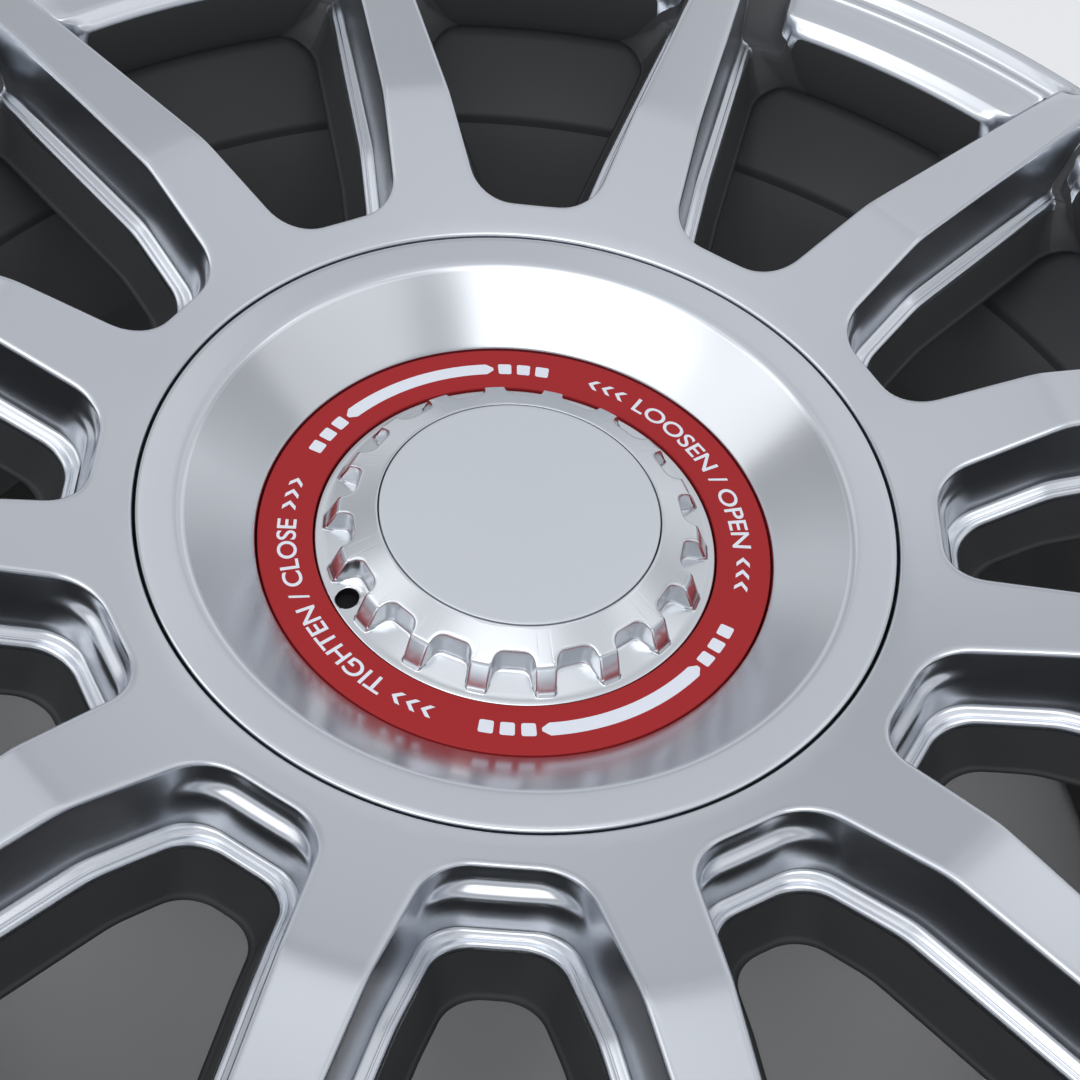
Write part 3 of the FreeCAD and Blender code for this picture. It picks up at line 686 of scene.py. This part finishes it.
def bolt_and_valve_cutter():
    """Five bolt holes and the valve hole, as one cutter."""
    bm = lathe(BOLT_PROFILE, BOLT_STEPS)
    turn_about_axis(bm, BOLT_TURN)
    bmesh.ops.translate(bm, vec=(0, BOLT_CIRCLE_RADIUS, 0), verts=bm.verts[:])
    copy_round(bm, BOLTS)
    place = Matrix.Translation(VALVE_PLACE) @ Matrix.Rotation(-VALVE_LEAN, 4, "X")
    round_bar(bm, VALVE_RADIUS, VALVE_LENGTH, VALVE_STEPS, place)
    merge(bm, FINE_MERGE_DISTANCE)
    bmesh.ops.recalc_face_normals(bm, faces=bm.faces[:])
    to_metres(bm)
    return new_object(bm, "hole_cutter")


def half_window(bm, window, side, rim_end):
    """Half a sector of the wheel: over the spoke's face, down the window's wall and across the back."""
    chains = [window_chain(row, rim_end) for row in WINDOW_ROWS]
    edge = sector_row(HUB_EDGE_RADIUS, LIP_FLAT_RADIUS, chains[0], 0.0)
    back = sector_row(DRUM_RADIUS, BARREL_JOIN_RADIUS, chains[-1], SPOKE_DEPTH, BARREL_JOIN_LEVEL)
    turn = Matrix.Rotation(2 * HALF_PITCH * window, 3, "Z") @ Matrix.Diagonal((1, side, 1))

    def placed(chain):
        return [turn @ point for point in chain]

    row = first_row(bm, placed(edge))
    row = next_row(bm, row, placed(between_rows(edge, chains[0], 0.5, face_level)))
    corner_last = len(edge) - END_STEPS + CORNER_OVERLAP
    corner_first = corner_last - RIM_CORNER_STEPS
    for index, chain in enumerate(chains):
        row = next_row(bm, row, placed(chain), WINDOW_ROWS[index].finish)
        # Below the silver rows the corners take the barrel paint, partly painted shade
        if index > LAST_SILVER_CORNER_ROW:
            for pair in zip(row[corner_first:corner_last], row[corner_first + 1:]):
                bm.edges.get(pair).link_faces[0].material_index = BARREL
    next_row(bm, row, placed(back), BARREL)


def build_wheel():
    """The face sector by sector, then hub and rim as turned rings grown from its edges."""
    bm = bmesh.new()
    for window in range(SPOKES):
        half_window(bm, window, 1, RELIEF_END if window == RELIEF_WINDOW else TIGHT_END)
        half_window(bm, window, -1, TIGHT_END)
    merge(bm)
    grow_ring(bm, open_ring(bm, HUB_EDGE_RADIUS, face_level(HUB_EDGE_RADIUS)), hub_profile())
    grow_ring(bm, open_ring(bm, LIP_FLAT_RADIUS, face_level(LIP_FLAT_RADIUS)), rim_profile())
    merge(bm, RIM_MERGE_DISTANCE)
    item = piece(bm, "wheel_casting", WHEEL_FINISHES_AND_SHADES, "wheel")
    cut_holes(item, bolt_and_valve_cutter())


# Centre cover, ring and disc: profiles of (radius, level)

COVER_STEPS = 256
RING_STEPS = 192
DISC_STEPS = 160
BOWL_FINISH = 1
RING_TOP = 43.45
INLAY_FLOOR = 52.75


def build_cover():
    """A nearly flat band, a small shoulder and a straight bowl down to the seat of the ring."""
    skirt = [(104.65, 52.45), (104.65, 59.7), (104.52, 60.1), (104.25, 60.33), (103.75, 60.44)]
    band = [(102.6, 60.4), (98.5, 60.22), (95.6, 60.1), (94.6, 60.05)]
    shoulder = [(94.1, 60.0), (93.55, 59.9), (93.0, 59.72), (92.5, 59.48), (92.05, 59.17)]
    bowl = [(91.6, 58.82), (84.0, 52.62), (74.4, 44.8), (73.5, 44.07), (73.2, 43.78), (73.1, 43.4)]
    seat = [(73.1, 40.45), (25.0, 40.45)]
    under = [(25.0, 37.45), (74.3, 37.45), (95.1, 56.3), (99.5, 56.6), (99.5, 52.45)]
    bm = lathe(skirt + band + shoulder + bowl + seat + under + skirt[:1], COVER_STEPS)
    for face in bm.faces:
        middle = face.calc_center_median()
        if bowl[-1][0] < middle.xy.length < bowl[0][0] and middle.z > bowl[-1][1]:
            face.material_index = BOWL_FINISH
    piece(bm, "cover_dish", [cover_silver, bowl_silver], "centre_cover")


def build_ring():
    outer = [(72.5, 40.45), (72.5, 43.2), (72.42, 43.38), (72.25, RING_TOP), (71.8, RING_TOP)]
    inner = [(57.8, RING_TOP), (57.45, RING_TOP), (57.28, 43.38), (57.2, 43.2), (57.2, 40.45)]
    bm = lathe(outer + inner + outer[:1], RING_STEPS)
    piece(bm, "red_lock_ring", [ring_red], "lock_ring")


def build_disc():
    under = [(0.0, INLAY_FLOOR), (39.2, INLAY_FLOOR)]
    over = [(39.2, 55.05), (39.14, 55.19), (38.98, 55.25), (38.0, 55.25), (0.0, 55.25)]
    piece(lathe(under + over, DISC_STEPS), "inlaid_disc", [disc_silver], "centre_disc")


# Lock nut: half a notch and half a tooth, with the middle of the notch on the X axis
TEETH = 18
NUT_TURN = math.radians(10.3)
NUT_FACE_RADIUS = 39.65
NUT_FACE_SINK = 5.2
NUT_FACE_LEVEL = GAP_LEVEL - NUT_FACE_SINK
# The bevel falls from the face to the teeth, sink over radius
NUT_SLOPE = (9.1 - NUT_FACE_SINK) / (49.8 - 39.6)
NOTCH_BACK = 46.2
NOTCH_HALF_BACK = 4.8
# A notch is wider at its mouth, half width over radius
NOTCH_LEAN = math.atan2(6.7 - NOTCH_HALF_BACK, 52.5 - NOTCH_BACK)
NOTCH_CORNER = 3.2
NOTCH_FLOOR_SINK = 15.7
FOOT_RADIUS = 54.6
NOTCH_FLOOR_SLOPE = 1.9 / (FOOT_RADIUS - NOTCH_BACK)
# Inset from the notch's wall, share of the way down, and radius of the tooth's outer face with its sink
NUT_ROWS = (
    (-1.1, 0.0, 49.1, 8.83),
    (-0.4, 0.0, 49.75, 9.08),
    (-0.18, 0.008, 50.0, 9.2),
    (-0.05, 0.03, 50.3, 9.48),
    (0.0, 0.07, 50.6, 9.8),
    (0.03, 0.14, 50.95, 10.4),
    (0.15, 0.5, 52.1, 12.9),
    (0.25, 0.84, 53.15, 15.2),
    (0.3, 0.92, 53.4, 15.8),
    (0.42, 0.97, 53.62, 16.3),
    (0.7, 1.0, 53.9, 16.8),
)
NUT_BACK_STEPS = 4
NUT_CORNER_STEPS = 7
NUT_SIDE_STEPS = 5
NUT_TOOTH_STEPS = 4
TOOTH_BLEND_STEPS = 2
# Rounded edge at the inlay: steps out from the face's radius and down from its level
NUT_INNER_EDGE = ((0.0, 0.25), (0.07, 0.1))
NUT_EDGE_WIDTH = 0.25
BEVEL_SHARES = (0.08, 0.6)
FOOT_SHARES = (0.1, 0.4, 0.8)
# Turned rings end this near the axis and are then merged into one point
CLOSED_RADIUS = 0.002
NUT_MERGE_DISTANCE = 0.006
NUT_FLANGE = (
    (55.0, 42.83),
    (56.3, 42.82),
    (56.6, 42.7),
    (56.78, 42.4),
    (56.8, 42.0),
    (56.8, 40.45),
    (24.0, 40.45),
)
NUT_SHANK = ((24.0, 19.45), (18.0, 19.45), (18.0, 46.75), (CLOSED_RADIUS, 46.75))
INLAY_POCKET = ((NUT_FACE_RADIUS, INLAY_FLOOR), (CLOSED_RADIUS, INLAY_FLOOR))
# Painted shade: the pin hole's faces take the near-black hole shade material
PIN_HOLE_SHADE_INDEX = 1
PIN_NOTCH = 10
PIN_PLACE_RADIUS = 52.6
PIN_HOLE_FLOOR = 40.7
PIN_HOLE_RADIUS = 3.3
PIN_HOLE_LENGTH = 20.0
PIN_HOLE_STEPS = 48


def nut_top(radius):
    return NUT_FACE_LEVEL - (radius - NUT_FACE_RADIUS) * NUT_SLOPE


def notch_floor(radius):
    return GAP_LEVEL - NOTCH_FLOOR_SINK - (radius - NOTCH_BACK) * NOTCH_FLOOR_SLOPE


def nut_row(inset, share, tooth_radius, tooth_sink):
    """One chain from the middle of a notch's back, round its corner and side, to the middle of a tooth."""
    corner = NOTCH_CORNER - inset
    back = NOTCH_BACK + inset
    along = bearing(NOTCH_LEAN)
    inward = Vector((along.y, -along.x))
    side = Vector((NOTCH_BACK, NOTCH_HALF_BACK)) + inward * (inset + corner)
    centre = side + along * ((back + corner - side.x) / along.x)
    plan = []
    for step in range(NUT_BACK_STEPS):
        plan.append(Vector((back, centre.y * step / NUT_BACK_STEPS)))
    for step in range(NUT_CORNER_STEPS + 1):
        angle = blend(math.pi, math.pi / 2 + NOTCH_LEAN, step / NUT_CORNER_STEPS)
        plan.append(centre + bearing(angle) * corner)
    start = plan[-1]
    ahead = start.dot(along)
    reach = -ahead + math.sqrt(ahead * ahead - start.length_squared + tooth_radius * tooth_radius)
    for step in range(1, NUT_SIDE_STEPS + 1):
        plan.append(start + along * (reach * step / NUT_SIDE_STEPS))
    last = math.atan2(plan[-1].y, plan[-1].x)
    for step in range(1, NUT_TOOTH_STEPS + 1):
        angle = blend(last, math.pi / TEETH, step / NUT_TOOTH_STEPS)
        plan.append(bearing(angle) * tooth_radius)
    row = []
    side_end = NUT_BACK_STEPS + NUT_CORNER_STEPS + NUT_SIDE_STEPS
    for index, point in enumerate(plan):
        radius = point.length
        wall = blend(nut_top(radius), notch_floor(radius), share)
        tooth_share = smooth_step(index, side_end - TOOTH_BLEND_STEPS, side_end)
        row.append(Vector((point.x, point.y, blend(wall, GAP_LEVEL - tooth_sink, tooth_share))))
    return row


def nut_circle(radius, level, count):
    """A chain along a circle, with its points evenly spread from a notch's middle to a tooth's."""
    row = []
    for index in range(count):
        row.append(polar(radius, math.pi / TEETH * index / (count - 1), level))
    return row


def pin_hole_cutter():
    bm = bmesh.new()
    angle = NUT_TURN + 2 * math.pi * PIN_NOTCH / TEETH
    place = Matrix.Translation(polar(PIN_PLACE_RADIUS, angle, PIN_HOLE_FLOOR + PIN_HOLE_LENGTH / 2))
    round_bar(bm, PIN_HOLE_RADIUS, PIN_HOLE_LENGTH, PIN_HOLE_STEPS, place)
    to_metres(bm)
    for face in bm.faces:
        face.material_index = PIN_HOLE_SHADE_INDEX
    return new_object(bm, "pin_hole_cutter")


def build_nut():
    """Half a notch and tooth, mirrored and copied round, then flange, shank and pocket as turned rings."""
    bm = bmesh.new()
    rows = [nut_row(*line) for line in NUT_ROWS]
    count = len(rows[0])
    edge = [nut_circle(NUT_FACE_RADIUS + out, NUT_FACE_LEVEL - drop, count) for out, drop in NUT_INNER_EDGE]
    bevel_radius = NUT_FACE_RADIUS + NUT_EDGE_WIDTH
    bevel = [nut_circle(bevel_radius, nut_top(bevel_radius), count)]
    bevel += [between_rows(bevel[0], rows[0], share, nut_top) for share in BEVEL_SHARES]
    foot = nut_circle(FOOT_RADIUS, notch_floor(FOOT_RADIUS), count)
    floor = [between_rows(rows[-1], foot, share, notch_floor) for share in FOOT_SHARES]
    row = first_row(bm, edge[0])
    for places in edge[1:] + bevel + rows + floor + [foot]:
        row = next_row(bm, row, places)
    everything = bm.verts[:] + bm.edges[:] + bm.faces[:]
    bmesh.ops.mirror(bm, geom=everything, matrix=Matrix(), merge_dist=FINE_MERGE_DISTANCE, axis="Y")
    copy_round(bm, TEETH)
    merge(bm)
    grow_ring(bm, open_ring(bm, FOOT_RADIUS, notch_floor(FOOT_RADIUS)), NUT_FLANGE + NUT_SHANK)
    inner_level = NUT_FACE_LEVEL - NUT_INNER_EDGE[0][1]
    grow_ring(bm, open_ring(bm, NUT_FACE_RADIUS, inner_level), INLAY_POCKET)
    merge(bm, NUT_MERGE_DISTANCE)
    turn_about_axis(bm, NUT_TURN)
    item = piece(bm, "scalloped_nut", [nut_silver, hole_shade], "lock_nut")
    cut_holes(item, pin_hole_cutter())


# Marks printed on the ring, at angles about Z in degrees
MARK_RISE = 0.03
MARK_LOW = 62.6
MARK_HIGH = 66.6
MARK_MIDDLE = (MARK_LOW + MARK_HIGH) / 2
WORD_LOW = 61.75
WORD_HIGH = 67.2
LETTER_WEIGHT = 0.012
WORDS = (("LOOSEN / OPEN", 58.3, 2.3), ("TIGHTEN / CLOSE", -121.3, -179.3))
BAR_MIDDLES = (120.3, -60.1)
BAR_HALF = 22.0
BAR_POINT = 1.9
BAR_BLUNT = 0.5
BAR_STEPS = 24
SQUARES = 3
SQUARE_START = 25.1
SQUARE_PITCH = 5.0
SQUARE_HALF = 1.75
SQUARE_CORNER = 0.6
SQUARE_CORNER_STEPS = 4
CHEVRONS = 3
CHEVRON_PITCH = 3.85
CHEVRON_ARM = 1.75
CHEVRON_STROKE = 1.3
CHEVRON_INSET = 0.1
# Tip of a row's first chevron, and the way that the row points
CHEVRON_ROWS = ((72.3, 1), (-0.7, 1), (-111.0, -1), (174.7, -1))


def print_shape(bm, corners):
    """A flat mark from (angle, radius) corners."""
    places = [polar(radius, math.radians(angle), RING_TOP + MARK_RISE) for angle, radius in corners]
    bm.faces.new([bm.verts.new(place) for place in places])


def arc_steps(first, last, count):
    return [blend(first, last, step / count) for step in range(count + 1)]


def print_bar(bm, first, last):
    """A long bar with blunt pointed ends."""
    start = first + BAR_POINT
    end = last - BAR_POINT
    high = MARK_MIDDLE + BAR_BLUNT
    low = MARK_MIDDLE - BAR_BLUNT
    upper = [(angle, MARK_HIGH) for angle in arc_steps(start, end, BAR_STEPS)]
    lower = [(angle, MARK_LOW) for angle in arc_steps(end, start, BAR_STEPS)]
    print_shape(bm, upper + [(last, high), (last, low)] + lower + [(first, low), (first, high)])


def print_square(bm, centre):
    """A small square with rounded corners."""
    turn = math.degrees(SQUARE_CORNER / MARK_HIGH)
    corners = []
    for side, end, start in ((1, 1, 0), (-1, 1, 90), (-1, -1, 180), (1, -1, 270)):
        middle = centre + side * (SQUARE_HALF - turn)
        base = MARK_HIGH - SQUARE_CORNER if end > 0 else MARK_LOW + SQUARE_CORNER
        for angle in arc_steps(start, start + 90, SQUARE_CORNER_STEPS):
            out = bearing(math.radians(angle))
            corners.append((middle + turn * out.x, base + SQUARE_CORNER * out.y))
    print_shape(bm, corners)


def print_chevron(bm, tip, way):
    """An arrow head whose tip points to greater angles for way 1 and to lesser ones for way -1."""
    for end in (MARK_HIGH - CHEVRON_INSET, MARK_LOW + CHEVRON_INSET):
        print_shape(bm, [
            (tip, MARK_MIDDLE),
            (tip - way * CHEVRON_ARM, end),
            (tip - way * (CHEVRON_ARM + CHEVRON_STROKE), end),
            (tip - way * CHEVRON_STROKE, MARK_MIDDLE),
        ])


def print_words(bm, text, first, last):
    """Words bent round the ring clockwise from the first angle to the last, with their tops outwards."""
    letters = bpy.data.curves.new("letters", "FONT")
    letters.body = text
    letters.offset = LETTER_WEIGHT
    holder = bpy.data.objects.new("letters", letters)
    bpy.context.scene.collection.objects.link(holder)
    done = holder.evaluated_get(bpy.context.evaluated_depsgraph_get())
    mesh = bpy.data.meshes.new_from_object(done)
    bpy.data.objects.remove(holder)
    known = len(bm.verts)
    bm.from_mesh(mesh)
    bm.verts.ensure_lookup_table()
    fresh = bm.verts[known:]
    left = min(vert.co.x for vert in fresh)
    right = max(vert.co.x for vert in fresh)
    low = min(vert.co.y for vert in fresh)
    high = max(vert.co.y for vert in fresh)
    for vert in fresh:
        angle = blend(first, last, (vert.co.x - left) / (right - left))
        radius = blend(WORD_LOW, WORD_HIGH, (vert.co.y - low) / (high - low))
        vert.co = polar(radius, math.radians(angle), RING_TOP + MARK_RISE)


def build_marks():
    """Two bars between rows of squares, two pairs of words and four rows of chevrons."""
    bm = bmesh.new()
    for middle in BAR_MIDDLES:
        print_bar(bm, middle - BAR_HALF, middle + BAR_HALF)
        for step in range(SQUARES):
            away = SQUARE_START + SQUARE_PITCH * step
            print_square(bm, middle + away)
            print_square(bm, middle - away)
    for tip, way in CHEVRON_ROWS:
        for step in range(CHEVRONS):
            print_chevron(bm, tip - CHEVRON_PITCH * step, way)
    for text, first, last in WORDS:
        print_words(bm, text, first, last)
    bmesh.ops.triangulate(bm, faces=bm.faces[:])
    turned = [face for face in bm.faces if face.normal.z < 0]
    bmesh.ops.reverse_faces(bm, faces=turned)
    piece(bm, "ring_marks", [mark_white], solid=False)


build_wheel()
build_cover()
build_ring()
build_disc()
build_nut()
build_marks()

SOLID_FINISHES = {
    "cover_seal": seal_rubber,
    "thread_carrier": carrier_steel,
    "carrier_snap_ring": carrier_steel,
}
for node, material in SOLID_FINISHES.items():
    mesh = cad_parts[node].data
    mesh.materials.clear()
    mesh.materials.append(material)


# Stage, light and camera, in metres

FLOOR_LEVEL = -0.1621
FLOOR_SIZE = 6.0
FLOOR_COLOUR = (0.92, 0.92, 0.92, 1)
FLOOR_ROUGHNESS = 0.7


def build_floor():
    bm = bmesh.new()
    bmesh.ops.create_grid(bm, x_segments=2, y_segments=2, size=FLOOR_SIZE)
    bmesh.ops.translate(bm, vec=(0, 0, FLOOR_LEVEL), verts=bm.verts[:])
    material = bpy.data.materials.new("floor_pale")
    material.use_nodes = True
    shader = material.node_tree.nodes["Principled BSDF"]
    shader.inputs["Base Color"].default_value = FLOOR_COLOUR
    shader.inputs["Roughness"].default_value = FLOOR_ROUGHNESS
    floor = new_object(bm, "floor", [material])


def soft_box(name, azimuth, elevation, distance, width, height, radiance):
    """A rectangular lamp at a bearing from the wheel's centre, aimed at it."""
    flat = distance * math.cos(math.radians(elevation))
    place = polar(flat, math.radians(azimuth), distance * math.sin(math.radians(elevation)))
    lamp = bpy.data.lights.new(name, "AREA")
    lamp.shape = "RECTANGLE"
    lamp.size = width
    lamp.size_y = height
    lamp.energy = radiance * width * height * math.pi
    item = bpy.data.objects.new(name, lamp)
    item.location = place
    item.rotation_euler = (-place).to_track_quat("-Z", "Y").to_euler()
    bpy.context.scene.collection.objects.link(item)


# Brightness of the studio dome by the sine of the height above the horizon
DOME = (
    (0.00, 0.45),
    (0.10, 0.54),
    (0.22, 0.80),
    (0.32, 0.84),
    (0.45, 0.62),
    (0.60, 0.48),
    (0.77, 0.67),
    (0.93, 0.77),
    (1.00, 0.80),
)
DOME_TINT = (0.98, 1.0, 1.045)
# Name, azimuth and elevation in degrees, distance, width, height, radiance
SOFT_BOXES = (
    ("front_box", -95, 63, 1.9, 1.3, 1.1, 1.45),
    ("front_left_box", 228, 56, 1.9, 1.0, 0.9, 0.95),
    ("left_box", 187, 42, 1.8, 1.1, 0.9, 0.95),
    ("upper_left_box", 163, 57, 1.9, 0.6, 0.5, 0.45),
    ("right_box", -8, 45, 1.8, 1.1, 1.0, 0.42),
    ("far_right_box", 58, 36, 1.9, 1.3, 1.0, 0.2),
    ("far_left_box", 114, 50, 1.9, 0.7, 0.4, 0.22),
    ("near_strip", 84.3, 83.4, 0.547, 0.34, 0.075, 0.5),
    ("right_strip", 27.5, 56.2, 0.654, 0.12, 0.12, 0.55),
    ("top_box", -90, 80, 1.8, 0.9, 0.5, 0.42),
)


def build_light():
    """A dome in soft bands, with large soft boxes all round and two small strips near the wheel."""
    world = bpy.data.worlds.new("studio")
    bpy.context.scene.world = world
    world.use_nodes = True
    nodes = world.node_tree.nodes
    links = world.node_tree.links
    place = nodes.new("ShaderNodeTexCoord")
    split = nodes.new("ShaderNodeSeparateXYZ")
    ramp = nodes.new("ShaderNodeValToRGB")
    links.new(place.outputs["Generated"], split.inputs[0])
    links.new(split.outputs["Z"], ramp.inputs["Fac"])
    stops = ramp.color_ramp.elements
    for position, _ in DOME[1:-1]:
        stops.new(position)
    for stop, (position, level) in zip(stops, DOME):
        stop.position = position
        stop.color = (*(level * share for share in DOME_TINT), 1)
    links.new(ramp.outputs["Color"], nodes["Background"].inputs["Color"])
    for box in SOFT_BOXES:
        soft_box(*box)


# The viewpoint was found from the circles of the cover and the ring. Its unit of length is the radius of the
# gap round the cover.
CAMERA_TURN = math.radians(-5.7)
CAMERA_ELEVATION = math.radians(51.045)
CAMERA_ROLL = 0.16213
CAMERA_PLACE = (0.0633, -3.2184, 3.8186)
CAMERA_UNIT = 0.105
FOCAL_PIXELS = 1905.24
FRAME_PIXELS = 1080
SENSOR_WIDTH = 36.0
NEAREST = 0.01


def build_camera():
    """The photograph's own viewpoint."""
    turn = Matrix.Rotation(CAMERA_TURN, 3, "Z")
    ahead = Vector((0, math.cos(CAMERA_ELEVATION), -math.sin(CAMERA_ELEVATION)))
    right = Vector((1, 0, 0))
    down = ahead.cross(right)
    side = right * math.cos(CAMERA_ROLL) - down * math.sin(CAMERA_ROLL)
    below = right * math.sin(CAMERA_ROLL) + down * math.cos(CAMERA_ROLL)
    axes = turn @ Matrix((side, -below, -ahead)).transposed()
    place = turn @ Vector(CAMERA_PLACE) * CAMERA_UNIT + Vector((0, 0, GAP_LEVEL * MM))
    lens = bpy.data.cameras.new("camera")
    lens.sensor_width = SENSOR_WIDTH
    lens.lens = FOCAL_PIXELS / FRAME_PIXELS * SENSOR_WIDTH
    lens.clip_start = NEAREST
    item = bpy.data.objects.new("camera", lens)
    item.matrix_world = Matrix.Translation(place) @ axes.to_4x4()
    bpy.context.scene.collection.objects.link(item)
    bpy.context.scene.camera = item


build_floor()
build_light()
build_camera()
bpy.context.scene.view_settings.view_transform = "Standard"
